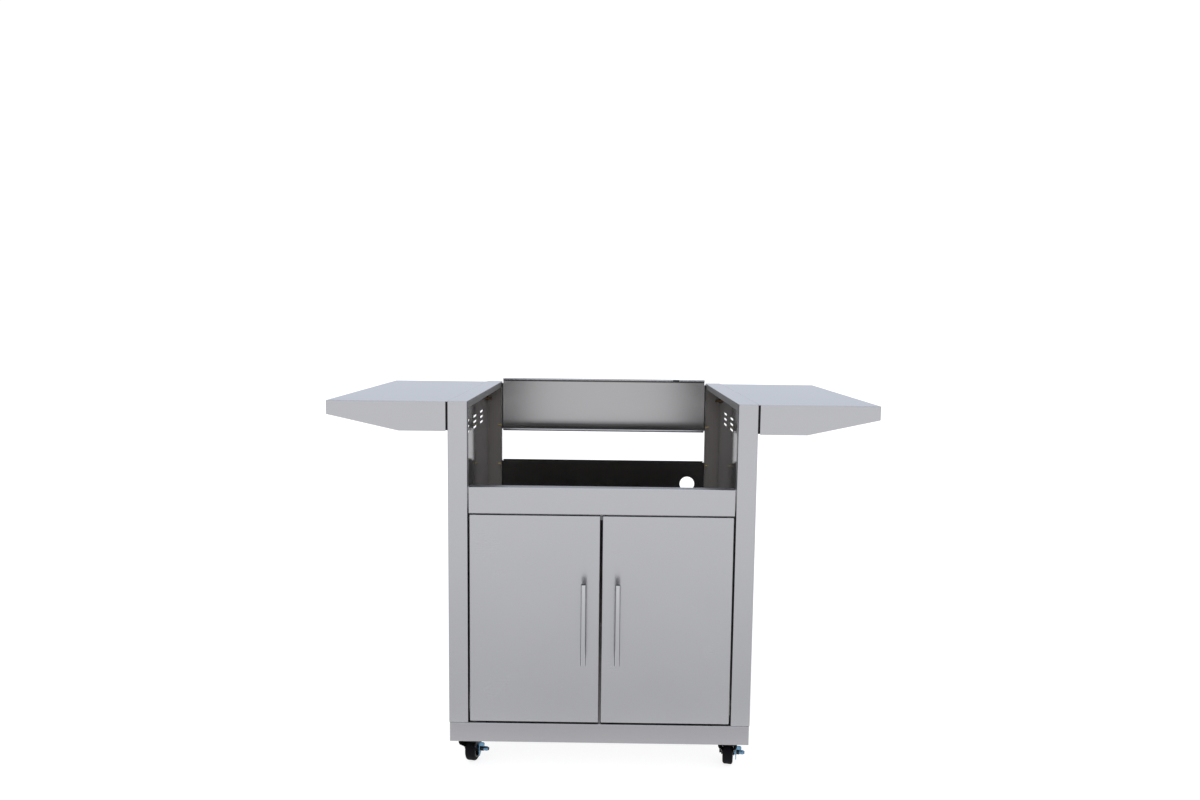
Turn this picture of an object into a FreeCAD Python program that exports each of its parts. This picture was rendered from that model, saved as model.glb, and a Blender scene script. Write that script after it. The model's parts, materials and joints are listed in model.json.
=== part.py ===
"""Stainless outdoor oven cart: open oven bay, two-door cabinet, fold-down side shelves, swivel casters.

Frame: millimetres, +Z up, origin on the floor under the middle of the cart, front towards -Y.
"""
import FreeCAD, Part
import os
import re

import Sketcher

doc = FreeCAD.newDocument("oven_cart")

# Driving dimensions
SIZES = {
    # body of folded sheet
    "body_width": 762.0,
    "body_depth": 700.0,
    "top_height": 948.0,
    "steel": 1.5,
    "bend_radius": 2.5,
    "post_face": 49.0,
    "return_lip": 18.0,
    # plinth and cabinet floor
    "plinth_bottom": 80.0,
    "plinth_height": 49.0,
    "plinth_inset": 1.5,
    "plinth_edge": 1.8,
    "tray_flange": 60.0,
    "floor_front": 22.0,
    "floor_edge": 12.0,
    "floor_fit": 0.5,
    # vent slots in the side panels
    "vent_length": 56.0,
    "vent_height": 6.5,
    "vent_first": 165.0,
    "vent_pitch": 130.0,
    "vent_drop": 85.0,
    "vent_row": 16.2,
    # front rail
    "rail_drop": 213.0,
    "rail_height": 66.5,
    "rail_top_flange": 28.0,
    "rail_bottom_flange": 38.0,
    "rail_lip": 12.0,
    "rail_end_gap": 3.0,
    "rail_tab": 13.0,
    "rail_screw_pitch": 32.0,
    # rear rail and rear panel
    "rear_rail_rise": 11.7,
    "rear_rail_height": 173.0,
    "rear_gap": 94.0,
    "rear_inset": 17.5,
    "rear_end_gap": 4.5,
    "cleat_leg": 12.0,
    "cleat_inset": 6.0,
    "hem_height": 7.5,
    "hem_proud": 3.5,
    "roll_height": 8.0,
    "roll_radius": 3.2,
    "notch_width": 20.0,
    "notch_height": 6.0,
    "notch_place": 235.0,
    "hose_hole": 48.0,
    "hose_place": 277.0,
    "hose_drop": 76.0,
    "rear_screw_edge": 17.0,
    # panel screws
    "screw": 5.0,
    "screw_head": 9.0,
    "screw_head_height": 3.0,
    "nut_width": 8.0,
    "nut_height": 4.0,
    "screw_tail": 2.0,
    "hole_room": 0.4,
    # doors
    "door_gap_side": 4.0,
    "door_gap_centre": 6.0,
    "door_gap_top": 3.0,
    "door_gap_bottom": 4.5,
    "door_thickness": 18.0,
    "liner_flange": 10.0,
    "pivot_in": 12.0,
    "pivot_back": 9.0,
    "pivot_pin": 8.0,
    "pin_reach": 14.0,
    "pin_fit": 0.05,
    "bush_wall": 2.0,
    "bush_flange": 1.7,
    "bush_length": 9.0,
    "hinge_plate": 2.5,
    "hinge_plate_length": 40.0,
    "hinge_plate_width": 14.0,
    # door handles
    "handle_bar": 12.7,
    "handle_length": 205.0,
    "handle_stand": 32.0,
    "handle_inset": 39.0,
    "handle_post": 10.0,
    "handle_post_inset": 25.0,
    "handle_edge": 1.2,
    # magnetic catch
    "catch_width": 64.0,
    "catch_depth": 15.0,
    "catch_height": 17.0,
    "catch_air": 0.4,
    "strike_width": 24.0,
    "strike_height": 15.0,
    "strike_plate": 1.2,
    "strike_inset": 5.0,
    # side shelves
    "shelf_reach": 298.0,
    "shelf_depth": 684.0,
    "shelf_drop": 1.0,
    "shelf_top_gap": 0.5,
    "apron_gap": 4.5,
    "apron_height": 73.7,
    "apron_flat": 120.0,
    "tip_height": 34.6,
    "fold_out": 18.0,
    "fold_up": 10.0,
    "stiffener_width": 60.0,
    "stiffener_height": 18.0,
    "stiffener_brim": 14.0,
    "stiffener_inset": 34.0,
    # shelf brackets and studs
    "bracket_plate": 3.0,
    "bracket_length": 38.0,
    "ear_gap": 0.8,
    "ear_margin": 9.0,
    "ear_under": 8.0,
    "ear_corner": 6.0,
    "pivot_stud": 10.0,
    "guide_stud": 8.0,
    "guide_radius": 38.0,
    "guide_room": 0.3,
    "stud_clip": 2.0,
    "stud_clip_brim": 3.0,
    "bracket_bolt": 8.0,
    "bracket_bolt_low": 54.0,
    "bracket_bolt_high": 28.0,
    "bracket_bolt_head": 5.3,
    "bracket_nut": 6.5,
    "bracket_hex": 13.0,
    # casters
    "caster_inset_side": 48.0,
    "caster_inset_front": 42.0,
    "caster_inset_rear": 62.0,
    "caster_plate": 60.0,
    "caster_plate_steel": 2.5,
    "caster_plate_corner": 6.0,
    "caster_bolt_pitch": 44.0,
    "caster_bolt": 6.0,
    "caster_bolt_head": 4.0,
    "caster_bolt_hex": 10.0,
    "caster_bolt_tail": 6.0,
    "race_width": 44.0,
    "race_height": 6.5,
    "race_air": 0.4,
    "kingpin": 10.0,
    "kingpin_head": 16.0,
    "kingpin_head_height": 2.0,
    "crown_width": 48.0,
    "crown_depth": 6.0,
    "fork_steel": 2.5,
    "fork_waist": 48.0,
    "fork_boss": 10.0,
    "wheel_diameter": 64.0,
    "wheel_width": 26.0,
    "wheel_side_gap": 1.2,
    "tyre_shoulder": 6.0,
    "tyre_wall": 9.0,
    "hub_web": 4.0,
    "hub_core": 18.0,
    "hub_rim": 3.0,
    "hub_side_gap": 0.4,
    "trail": 20.0,
    "axle": 8.0,
    "axle_fit": 0.05,
    "axle_hex": 13.0,
    "axle_head": 5.3,
    "axle_nut": 6.5,
    "swivel_front_left": -11.0,
    "swivel_front_right": -11.0,
    "swivel_rear_left": 4.0,
    "swivel_rear_right": -6.0,
    # brake levers of the front casters
    "brake_boss": 16.0,
    "brake_boss_length": 5.0,
    "brake_steel": 2.0,
    "brake_reach": 13.0,
    "brake_rise": 22.0,
    "brake_drop": 15.0,
    "brake_tread": 10.0,
    "brake_tread_width": 15.0,
    "brake_tread_corner": 3.5,
    "brake_air": 0.3,
    "brake_bolt_tail": 14.0,
}

# Counts and names of what repeats
VENT_COLUMNS = 4
VENT_ROWS = 3
SIDES = {"left": -1, "right": 1}
CASTERS = ("front_left", "front_right", "rear_left", "rear_right")

# Places worked out from the driving dimensions
PLACES = {
    "half_width": "body_width / 2",
    "post_inner": "half_width - post_face",
    "handle_reach": "handle_stand + handle_bar / 2",
    "front_face": "-(body_depth - handle_reach) / 2",
    "rear_face": "front_face + body_depth",
    "plinth_top": "plinth_bottom + plinth_height",
    "plinth_half": "half_width - plinth_inset",
    "rail_top": "top_height - rail_drop",
    "rail_bottom": "rail_top - rail_height",
    "rail_end": "post_inner - rail_end_gap",
    "rail_tab_back": "front_face + return_lip - steel",
    "rail_tab_front": "rail_tab_back - rail_tab",
    "rear_sheet": "rear_face - rear_inset",
    "rear_sheet_back": "rear_sheet + steel",
    "rear_sheet_end": "post_inner - rear_end_gap",
    "rear_rail_top": "top_height + rear_rail_rise",
    "rear_rail_bottom": "rear_rail_top - rear_rail_height",
    "rear_panel_top": "rear_rail_bottom - rear_gap",
    "door_top": "rail_bottom - door_gap_top",
    "door_bottom": "plinth_top + door_gap_bottom",
    "door_outer": "post_inner - door_gap_side",
    "door_inner": "door_gap_centre / 2",
    "door_back": "front_face + door_thickness",
    "hinge_x": "door_outer - pivot_in",
    "hinge_y": "front_face + pivot_back",
    "bush_radius": "pivot_pin / 2 + pin_fit + bush_wall",
    "handle_x": "door_inner + handle_inset",
    "handle_y": "front_face - handle_stand",
    "handle_bottom": "(door_top + door_bottom - handle_length) / 2",
    "shelf_top": "top_height - shelf_drop",
    "shelf_bottom": "shelf_top - apron_height",
    "shelf_end": "half_width + shelf_reach",
    "shelf_inner": "half_width + apron_gap",
    "shelf_back": "front_face + shelf_depth",
    "fold_x": "half_width + fold_out",
    "fold_z": "shelf_bottom + fold_up",
    "ear_reach": "guide_radius + ear_margin",
    "ear_front": "front_face + steel + ear_gap",
    "ear_back": "shelf_back - steel - ear_gap",
    "ear_top": "shelf_top - steel - ear_gap",
    "bracket_bolt_step": "bracket_plate + (bracket_length - bracket_plate) / 2",
    "caster_x": "half_width - caster_inset_side",
    "caster_front": "front_face + caster_inset_front",
    "caster_rear": "rear_face - caster_inset_rear",
    "caster_seat": "plinth_bottom - caster_plate_steel",
    "crown_top": "caster_seat - race_height",
    "crown_low": "crown_top - fork_steel",
    "wheel_radius": "wheel_diameter / 2",
    "leg_inner": "wheel_width / 2 + wheel_side_gap",
    "leg_outer": "leg_inner + fork_steel",
    "hub_radius": "wheel_radius - tyre_wall",
    "brake_outer": "leg_outer + brake_air + brake_boss_length",
}


def fill_sheet(name, rows):
    """A spreadsheet with one named cell per row."""
    table = doc.addObject("Spreadsheet::Sheet", name)
    for row, (alias, content) in enumerate(rows, start=1):
        table.set(f"A{row}", alias)
        table.set(f"B{row}", content)
        table.setAlias(f"B{row}", alias)
    return table


def tie(text):
    """The expression for a formula of named sizes and places."""
    def qualify(match):
        word = match.group(0)
        if word in SIZES:
            return "Sizes." + word
        if word in PLACES:
            return "Places." + word
        return word
    return re.sub(r"[a-z_]+", qualify, text)


fill_sheet("Sizes", [(alias, str(value)) for alias, value in SIZES.items()])
fill_sheet("Places", [(alias, "=" + tie(formula)) for alias, formula in PLACES.items()])
probe = doc.addObject("Spreadsheet::Sheet", "Probe")
doc.recompute()


def number(text):
    """The present value of a formula of named sizes and places."""
    probe.set("A1", "=" + tie(text))
    probe.recompute()
    return float(probe.get("A1"))


def span(one, other):
    """Two places in rising order."""
    return sorted((one, other), key=number)


def new_body(label):
    body = doc.addObject("PartDesign::Body", label)
    body.Label = label
    return body


# Outlines for the sketches: each draws itself on a sketch and ties its points to the sheet

def hold_one(sketch, geometry, end, kind, text):
    """Tie one coordinate of one point of a sketch."""
    index = sketch.addConstraint(Sketcher.Constraint(kind, -1, 1, geometry, end, number(text)))
    sketch.setExpression(f"Constraints[{index}]", tie(text))


def hold(sketch, geometry, end, place):
    """Tie one point of a sketch to its two coordinates."""
    for kind, text in zip(("DistanceX", "DistanceY"), place):
        hold_one(sketch, geometry, end, kind, text)


def hold_radius(sketch, geometry, text):
    index = sketch.addConstraint(Sketcher.Constraint("Radius", geometry, number(text)))
    sketch.setExpression(f"Constraints[{index}]", tie(text))


def point(place):
    return FreeCAD.Vector(number(place[0]), number(place[1]), 0)


def outline(*places):
    """A closed outline of straight edges."""
    def draw(sketch):
        corners = [point(place) for place in places]
        lines = []
        for start, end in zip(corners, corners[1:] + corners[:1]):
            lines.append(sketch.addGeometry(Part.LineSegment(start, end), False))
        for line, following in zip(lines, lines[1:] + lines[:1]):
            sketch.addConstraint(Sketcher.Constraint("Coincident", line, 2, following, 1))
        for line, place in zip(lines, places):
            hold(sketch, line, 1, place)
    return draw


def rectangle(left, right, low, high):
    return outline((left, low), (right, low), (right, high), (left, high))


def circle(x, y, radius):
    def draw(sketch):
        shape = Part.Circle(point((x, y)), FreeCAD.Vector(0, 0, 1), number(radius))
        geometry = sketch.addGeometry(shape, False)
        hold(sketch, geometry, 3, (x, y))
        hold_radius(sketch, geometry, radius)
    return draw


HALF_TURN = 3.141592653589793
QUARTER = HALF_TURN / 2


def obround(x, y, length, width):
    """A slot with round ends, lying along the sketch's first axis."""
    def draw(sketch):
        reach = f"({length} - {width}) / 2"
        radius = f"{width} / 2"
        corners = [(f"{x} - {reach}", f"{y} - {radius}"), (f"{x} + {reach}", f"{y} - {radius}"),
                   (f"{x} + {reach}", f"{y} + {radius}"), (f"{x} - {reach}", f"{y} + {radius}")]
        low = sketch.addGeometry(Part.LineSegment(point(corners[0]), point(corners[1])), False)
        high = sketch.addGeometry(Part.LineSegment(point(corners[2]), point(corners[3])), False)
        caps = []
        for centre_x, first in ((f"{x} + {reach}", -QUARTER), (f"{x} - {reach}", QUARTER)):
            shape = Part.Circle(point((centre_x, y)), FreeCAD.Vector(0, 0, 1), number(radius))
            arc = Part.ArcOfCircle(shape, first, first + HALF_TURN)
            caps.append((sketch.addGeometry(arc, False), centre_x))
        right, left = caps[0][0], caps[1][0]
        around = [low, right, high, left]
        for one, following in zip(around, around[1:] + around[:1]):
            sketch.addConstraint(Sketcher.Constraint("Coincident", one, 2, following, 1))
        for line, ends in ((low, corners[:2]), (high, corners[2:])):
            hold(sketch, line, 1, ends[0])
            hold(sketch, line, 2, ends[1])
        for cap, centre_x in caps:
            hold_one(sketch, cap, 3, "DistanceX", centre_x)
    return draw


def quarter_slot(x, y, radius, width, side):
    """A slot along a quarter circle, from straight above its centre to the given side."""
    def draw(sketch):
        outer, inner, cap = f"({radius} + {width} / 2)", f"({radius} - {width} / 2)", f"{width} / 2"
        turn = 0 if side > 0 else QUARTER
        beside, above = (f"{x} + {side} * {radius}", y), (x, f"{y} + {radius}")
        low_end, high_end = (beside, above) if side > 0 else (above, beside)
        curves = []
        for centre, reach, first, last in (
                ((x, y), outer, 0, QUARTER), (high_end, cap, QUARTER, 3 * QUARTER),
                ((x, y), inner, 0, QUARTER), (low_end, cap, 2 * QUARTER, 4 * QUARTER)):
            shape = Part.Circle(point(centre), FreeCAD.Vector(0, 0, 1), number(reach))
            curves.append(sketch.addGeometry(Part.ArcOfCircle(shape, turn + first, turn + last), False))
        for one, end, other, start in ((0, 2, 1, 1), (1, 2, 2, 2), (2, 1, 3, 1), (3, 2, 0, 1)):
            meeting = Sketcher.Constraint("Coincident", curves[one], end, curves[other], start)
            sketch.addConstraint(meeting)
        for curve, reach in ((curves[0], outer), (curves[2], inner)):
            ends = [(f"{x} + {side} * {reach}", y), (x, f"{y} + {reach}")]
            for end, spot in zip((1, 2), ends[::side]):
                hold(sketch, curve, end, spot)
            hold_one(sketch, curve, 3, "DistanceX", x)
        high_cap, low_cap = curves[1], curves[3]
        above_cap, beside_cap = (high_cap, low_cap) if side > 0 else (low_cap, high_cap)
        hold_one(sketch, above_cap, 3, "DistanceX", x)
        hold_one(sketch, beside_cap, 3, "DistanceY", y)
    return draw


def legs_outline(places, centre, radius):
    """Straight edges closed by a half circle below the last and first point."""
    def draw(sketch):
        corners = [point(place) for place in places]
        lines = [sketch.addGeometry(Part.LineSegment(a, b), False) for a, b in zip(corners, corners[1:])]
        for line, following in zip(lines, lines[1:]):
            sketch.addConstraint(Sketcher.Constraint("Coincident", line, 2, following, 1))
        shape = Part.Circle(point(centre), FreeCAD.Vector(0, 0, 1), number(radius))
        arc = sketch.addGeometry(Part.ArcOfCircle(shape, HALF_TURN, 2 * HALF_TURN), False)
        sketch.addConstraint(Sketcher.Constraint("Coincident", arc, 1, lines[0], 1))
        sketch.addConstraint(Sketcher.Constraint("Coincident", arc, 2, lines[-1], 2))
        for line, place in zip(lines, places):
            hold(sketch, line, 1, place)
        hold(sketch, lines[-1], 2, places[-1])
        hold_one(sketch, arc, 3, "DistanceY", centre[1])
    return draw


# Features of a body

# Sketch planes by the axis they face; a sketch on the XZ plane faces -Y
PLANES = {"X": ("YZ_Plane", 1), "Y": ("XZ_Plane", -1), "Z": ("XY_Plane", 1)}


def new_sketch(body, axis, offset, shapes):
    role, sense = PLANES[axis]
    sketch = body.newObject("Sketcher::SketchObject", body.Label + "_sketch")
    plane = [feature for feature in body.Origin.OriginFeatures if feature.Role == role][0]
    sketch.AttachmentSupport = [(plane, "")]
    sketch.MapMode = "FlatFace"
    sketch.setExpression("AttachmentOffset.Base.z", tie(f"{sense} * ({offset})"))
    for draw in shapes:
        draw(sketch)
    return sketch


def pad(body, axis, start, end, *shapes):
    """Material between two places along an axis."""
    sense = PLANES[axis][1]
    sketch = new_sketch(body, axis, start if sense > 0 else end, shapes)
    feature = body.newObject("PartDesign::Pad", body.Label + "_pad")
    feature.Profile = sketch
    feature.setExpression("Length", tie(f"({end}) - ({start})"))
    doc.recompute()
    return feature


def pocket(body, axis, start, end, *shapes):
    """A cut between two places along an axis, which has to take material away."""
    before = body.Shape.Volume
    sense = PLANES[axis][1]
    sketch = new_sketch(body, axis, end if sense > 0 else start, shapes)
    feature = body.newObject("PartDesign::Pocket", body.Label + "_pocket")
    feature.Profile = sketch
    feature.setExpression("Length", tie(f"({end}) - ({start})"))
    doc.recompute()
    if body.Shape.Volume >= before:
        raise RuntimeError(f"a pocket of {body.Label} cuts nothing")
    return feature


def revolve(body, *shapes):
    """A solid of revolution about the body's own X axis, drawn as (x, radius)."""
    sketch = new_sketch(body, "Y", "0", shapes)
    feature = body.newObject("PartDesign::Revolution", body.Label + "_turn")
    feature.Profile = sketch
    axle_line = [line for line in body.Origin.OriginFeatures if line.Role == "X_Axis"][0]
    feature.ReferenceAxis = (axle_line, [""])
    feature.Angle = 360
    doc.recompute()
    return feature


def fillet(body, edge_names, radius):
    base = body.Tip
    feature = body.newObject("PartDesign::Fillet", body.Label + "_bend")
    feature.Base = (base, edge_names)
    feature.setExpression("Radius", tie(radius))
    doc.recompute()
    if "Invalid" in feature.State:
        raise RuntimeError(f"a bend of {body.Label} fails")


def round_edges(body, radius, *places):
    """Fillet the straight edges that lie at the given coordinates, such as {"X": ..., "Y": ...}."""
    tolerance = 0.01
    wanted = [{axis: number(text) for axis, text in place.items()} for place in places]
    names = []
    for index, edge in enumerate(body.Shape.Edges, start=1):
        box = edge.BoundBox
        span = {"X": (box.XMin, box.XMax), "Y": (box.YMin, box.YMax), "Z": (box.ZMin, box.ZMax)}
        for place in wanted:
            if all(abs(end - value) < tolerance for axis, value in place.items() for end in span[axis]):
                names.append(f"Edge{index}")
                break
    fillet(body, names, radius)


def place(thing, x="0", y="0", z="0", rotation=None):
    """Put an object at a place tied to the sheet."""
    if rotation is not None:
        thing.Placement = FreeCAD.Placement(FreeCAD.Vector(), rotation)
    for axis, text in zip("xyz", (x, y, z)):
        thing.setExpression(f"Placement.Base.{axis}", tie(text))
    return thing


# Turned and pressed hardware

# Rotations that lay a cylinder's or prism's own Z axis along another axis
LAY = {
    "Z": FreeCAD.Rotation(),
    "X": FreeCAD.Rotation(FreeCAD.Vector(0, 1, 0), 90),
    "-X": FreeCAD.Rotation(FreeCAD.Vector(0, 1, 0), -90),
    "Y": FreeCAD.Rotation(FreeCAD.Vector(1, 0, 0), -90),
}


def cylinder(axis, x, y, z, radius, length):
    shape = doc.addObject("Part::Cylinder", "rod")
    shape.setExpression("Radius", tie(radius))
    shape.setExpression("Height", tie(length))
    return place(shape, x, y, z, LAY[axis])


def hexagon(axis, x, y, z, across_flats, length):
    shape = doc.addObject("Part::Prism", "hexagon")
    shape.Polygon = 6
    shape.setExpression("Circumradius", tie(f"{across_flats} / 2 / cos(30 deg)"))
    shape.setExpression("Height", tie(length))
    return place(shape, x, y, z, LAY[axis])


def fuse(*shapes):
    joined = doc.addObject("Part::MultiFuse", "joined")
    joined.Shapes = list(shapes)
    return joined


def cut(base, tool):
    result = doc.addObject("Part::Cut", "drilled")
    result.Base = base
    result.Tool = tool
    return result


def group(label, members):
    """Identical pieces that share one name, each a separate solid."""
    result = doc.addObject("Part::Compound", label)
    result.Label = label
    result.Links = list(members)
    return result


nodes = []


def node(thing):
    nodes.append(thing)
    return thing


# Plinth and cabinet floor

def base_tray():
    """A closed folded plinth with a window in its top, under the cabinet floor."""
    body = new_body("base_tray")
    pad(body, "Z", "plinth_bottom", "plinth_top",
        rectangle("-plinth_half", "plinth_half", "front_face", "rear_face"))
    round_edges(body, "bend_radius", *(
        {"X": x, "Y": y} for x in ("-plinth_half", "plinth_half") for y in ("front_face", "rear_face")))
    round_edges(body, "plinth_edge", {"Y": "front_face", "Z": "plinth_top"},
                {"Y": "rear_face", "Z": "plinth_top"}, {"X": "-plinth_half", "Z": "plinth_top"},
                {"X": "plinth_half", "Z": "plinth_top"})
    pocket(body, "Z", "plinth_bottom + steel", "plinth_top - steel",
           rectangle("-plinth_half + steel", "plinth_half - steel",
                     "front_face + steel", "rear_face - steel"))
    pocket(body, "Z", "plinth_top - 2 * steel", "plinth_top",
           rectangle("-plinth_half + tray_flange", "plinth_half - tray_flange",
                     "front_face + tray_flange", "rear_face - tray_flange"))
    holes = []
    for caster in CASTERS:
        x, y = caster_place(caster)
        for step_x, step_y in plate_corners():
            holes.append(circle(f"{x} + {step_x}", f"{y} + {step_y}", "caster_bolt / 2 + hole_room"))
    pocket(body, "Z", "plinth_bottom", "plinth_bottom + steel", *holes)
    node(body)


def caster_place(caster):
    """Where a caster's kingpin stands."""
    x = "-caster_x" if caster.endswith("left") else "caster_x"
    y = "caster_front" if caster.startswith("front") else "caster_rear"
    return x, y


def plate_corners():
    """Where a caster plate's bolts stand beside its kingpin."""
    steps = ("-caster_bolt_pitch / 2", "caster_bolt_pitch / 2")
    return [(step_x, step_y) for step_x in steps for step_y in steps]


def bottom_shelf():
    """The cabinet floor, with low upturned edges at its sides and back."""
    body = new_body("bottom_shelf")
    half = "post_inner - floor_fit"
    front = "front_face + floor_front"
    back = "rear_sheet - floor_fit"
    pad(body, "Z", "plinth_top", "plinth_top + floor_edge", rectangle(f"-({half})", half, front, back))
    round_edges(body, "bend_radius", {"X": f"-({half})", "Z": "plinth_top"},
                {"X": half, "Z": "plinth_top"}, {"Y": back, "Z": "plinth_top"})
    pocket(body, "Z", "plinth_top + steel", "plinth_top + floor_edge",
           rectangle(f"-({half}) + steel", f"{half} - steel", f"{front} - steel", f"{back} - steel"))
    node(body)


# Side panels

def bracket_bolt_rows():
    """Depth of the bracket bolts behind the front, for the front and the rear bracket."""
    return ("ear_front + bracket_bolt_step", "ear_back - bracket_bolt_step")


def side_panel(name, side):
    """One folded sheet: web, posts, top and bottom flange and the lips round its open inner side."""
    body = new_body("side_panel_" + name)
    web = f"{side} * half_width"
    lip = f"{side} * post_inner"
    start, end = span(web, lip)
    pad(body, "X", start, end, rectangle("front_face", "rear_face", "plinth_top", "top_height"))
    bends = [{"X": x, "Y": y} for x in (web, lip) for y in ("front_face", "rear_face")]
    for z in ("plinth_top", "top_height"):
        bends += [{"X": x, "Z": z} for x in (web, lip)]
        bends += [{"Y": y, "Z": z} for y in ("front_face", "rear_face")]
    round_edges(body, "bend_radius", *bends)
    pocket(body, "X", f"{start} + steel", f"{end} - steel",
           rectangle("front_face + steel", "rear_face - steel",
                     "plinth_top + steel", "top_height - steel"))
    lip_start, lip_end = span(lip, f"{lip} + {side} * 2 * steel")
    pocket(body, "X", lip_start, lip_end,
           rectangle("front_face + return_lip", "rear_face - return_lip",
                     "plinth_top + return_lip", "top_height - return_lip"))
    web_start, web_end = span(web, f"{web} - {side} * steel")
    slots = []
    for column in range(VENT_COLUMNS):
        for row in range(VENT_ROWS):
            depth = f"(front_face + vent_first + {column} * vent_pitch)"
            height = f"(top_height - vent_drop - {row} * vent_row)"
            slots.append(obround(depth, height, "vent_length", "vent_height"))
    pocket(body, "X", web_start, web_end, *slots)
    bolts = [circle(depth, f"top_height - {drop}", "bracket_bolt / 2 + hole_room")
             for depth in bracket_bolt_rows() for drop in ("bracket_bolt_low", "bracket_bolt_high")]
    pocket(body, "X", web_start, web_end, *bolts)
    screws = [circle(depth, height, "screw / 2 + hole_room") for depth, height in lip_screws()]
    lip_start, lip_end = span(lip, f"{lip} + {side} * steel")
    pocket(body, "X", lip_start, lip_end, *screws)
    node(body)


def rear_screw_heights():
    return ("rear_rail_bottom + rear_screw_edge", "top_height - rear_screw_edge",
            "rear_panel_top - rear_screw_edge", "(rear_panel_top + plinth_top) / 2",
            "plinth_top + return_lip + rear_screw_edge")


def rail_screw_heights():
    return tuple(f"(rail_top + rail_bottom {sign} rail_screw_pitch) / 2" for sign in "-+")


def lip_screws():
    """Depth and height of every screw through a panel's lips."""
    rear = [("rear_face - return_lip / 2", height) for height in rear_screw_heights()]
    front = [("(rail_tab_front + rail_tab_back) / 2", height) for height in rail_screw_heights()]
    return rear + front


# Front rail, rear rail and rear panel

def front_rail():
    """A channel across the front under the oven bay, with a screw tab at each end."""
    body = new_body("front_rail")
    top_back = "front_face + rail_top_flange"
    bottom_back = "front_face + rail_bottom_flange"
    section = outline(
        ("front_face", "rail_bottom"), (bottom_back, "rail_bottom"),
        (bottom_back, "rail_bottom + rail_lip"), (f"{bottom_back} - steel", "rail_bottom + rail_lip"),
        (f"{bottom_back} - steel", "rail_bottom + steel"), ("front_face + steel", "rail_bottom + steel"),
        ("front_face + steel", "rail_top - steel"), (f"{top_back} - steel", "rail_top - steel"),
        (f"{top_back} - steel", "rail_top - rail_lip"), (top_back, "rail_top - rail_lip"),
        (top_back, "rail_top"), ("front_face", "rail_top"))
    pad(body, "X", "-rail_end", "rail_end", section)
    round_edges(body, "bend_radius", *({"Y": "front_face", "Z": z} for z in ("rail_top", "rail_bottom")))
    for side in SIDES.values():
        inner, outer = f"{side} * (rail_end - rail_tab)", f"{side} * post_inner"
        start, end = span(inner, outer)
        pad(body, "X", start, end,
            rectangle("rail_tab_front", "rail_tab_back", "rail_top - steel", "rail_top"))
        start, end = span(f"{outer} - {side} * steel", outer)
        pad(body, "X", start, end,
            rectangle("rail_tab_front", "rail_tab_back", "rail_bottom + rail_lip", "rail_top"))
        holes = [circle("(rail_tab_front + rail_tab_back) / 2", height, "screw / 2 + hole_room")
                 for height in rail_screw_heights()]
        pocket(body, "X", start, end, *holes)
    pocket(body, "Z", "rail_bottom", "rail_bottom + steel", *(
        circle(f"{side} * hinge_x", "hinge_y", "pivot_pin / 2 + hole_room") for side in SIDES.values()))
    node(body)


def rear_rail():
    """The upper rear sheet, with a rolled foot and a rolled edge that stands above the side panels."""
    body = new_body("rear_rail")
    front = "rear_sheet - hem_proud"
    hem_low = "rear_rail_top - hem_height"
    roll_high = "rear_rail_bottom + roll_height"
    for face, low, high in (("rear_sheet", "rear_rail_bottom", "rear_rail_top"),
                            (front, hem_low, "rear_rail_top"), (front, "rear_rail_bottom", roll_high)):
        pad(body, "Y", face, "rear_sheet_back", rectangle("-rear_sheet_end", "rear_sheet_end", low, high))
    round_edges(body, "steel", {"Y": "rear_sheet_back", "Z": "rear_rail_top"})
    round_edges(body, "roll_radius", *(
        {"Y": front, "Z": z} for z in ("rear_rail_top", hem_low, roll_high, "rear_rail_bottom")))
    pocket(body, "Y", front, "rear_sheet",
           rectangle("notch_place - notch_width / 2", "notch_place + notch_width / 2",
                     hem_low, f"{hem_low} + notch_height"))
    node(body)


def rear_panel():
    """The lower rear sheet, with a round hole for the gas hose."""
    body = new_body("rear_panel")
    pad(body, "Y", "rear_sheet", "rear_sheet_back",
        rectangle("-rear_sheet_end", "rear_sheet_end", "plinth_top", "rear_panel_top"))
    pocket(body, "Y", "rear_sheet", "rear_sheet_back",
           circle("hose_place", "rear_panel_top - hose_drop", "hose_hole / 2"))
    node(body)


def rear_cleats():
    """Angles welded behind the ends of the rear sheets, which take the screws through the panel lips."""
    members = []
    for label, low, high in (("rail", "rear_rail_bottom + cleat_inset", "top_height - cleat_inset"),
                             ("panel", "plinth_top + cleat_inset", "rear_panel_top - cleat_inset")):
        for name, side in SIDES.items():
            body = new_body(f"rear_cleat_{label}_{name}")
            lip = f"{side} * post_inner"
            start, end = span(lip, f"{lip} - {side} * cleat_leg")
            pad(body, "X", start, end, rectangle("rear_sheet_back", "rear_face - steel", low, high))
            round_edges(body, "bend_radius", {"X": lip, "Y": "rear_sheet_back"})
            start, end = span(f"{lip} - {side} * steel", f"{lip} - {side} * cleat_leg")
            pocket(body, "X", start, end,
                   rectangle("rear_sheet_back + steel", "rear_face - steel", low, high))
            start, end = span(lip, f"{lip} - {side} * steel")
            holes = [circle("rear_face - return_lip / 2", height, "screw / 2 + hole_room")
                     for height in rear_screw_heights() if number(low) < number(height) < number(high)]
            pocket(body, "X", start, end, *holes)
            members.append(body)
    node(group("rear_cleats", members))


def panel_screw(side, depth, height):
    """A screw through a lip, its head towards the middle of the cart."""
    head = f"{side} * (post_inner - steel - screw_head_height)"
    axis = "X" if side > 0 else "-X"
    length = "screw_head_height + 2 * steel + nut_height + screw_tail"
    return fuse(cylinder(axis, head, depth, height, "screw_head / 2", "screw_head_height"),
                cylinder(axis, head, depth, height, "screw / 2", length))


def panel_nut(side, depth, height):
    """The nut of a lip screw, on the post's side of the lip."""
    axis = "X" if side > 0 else "-X"
    face = f"{side} * (post_inner + steel)"
    return cut(hexagon(axis, face, depth, height, "nut_width", "nut_height"),
               cylinder(axis, face, depth, height, "screw / 2", "nut_height"))


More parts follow.
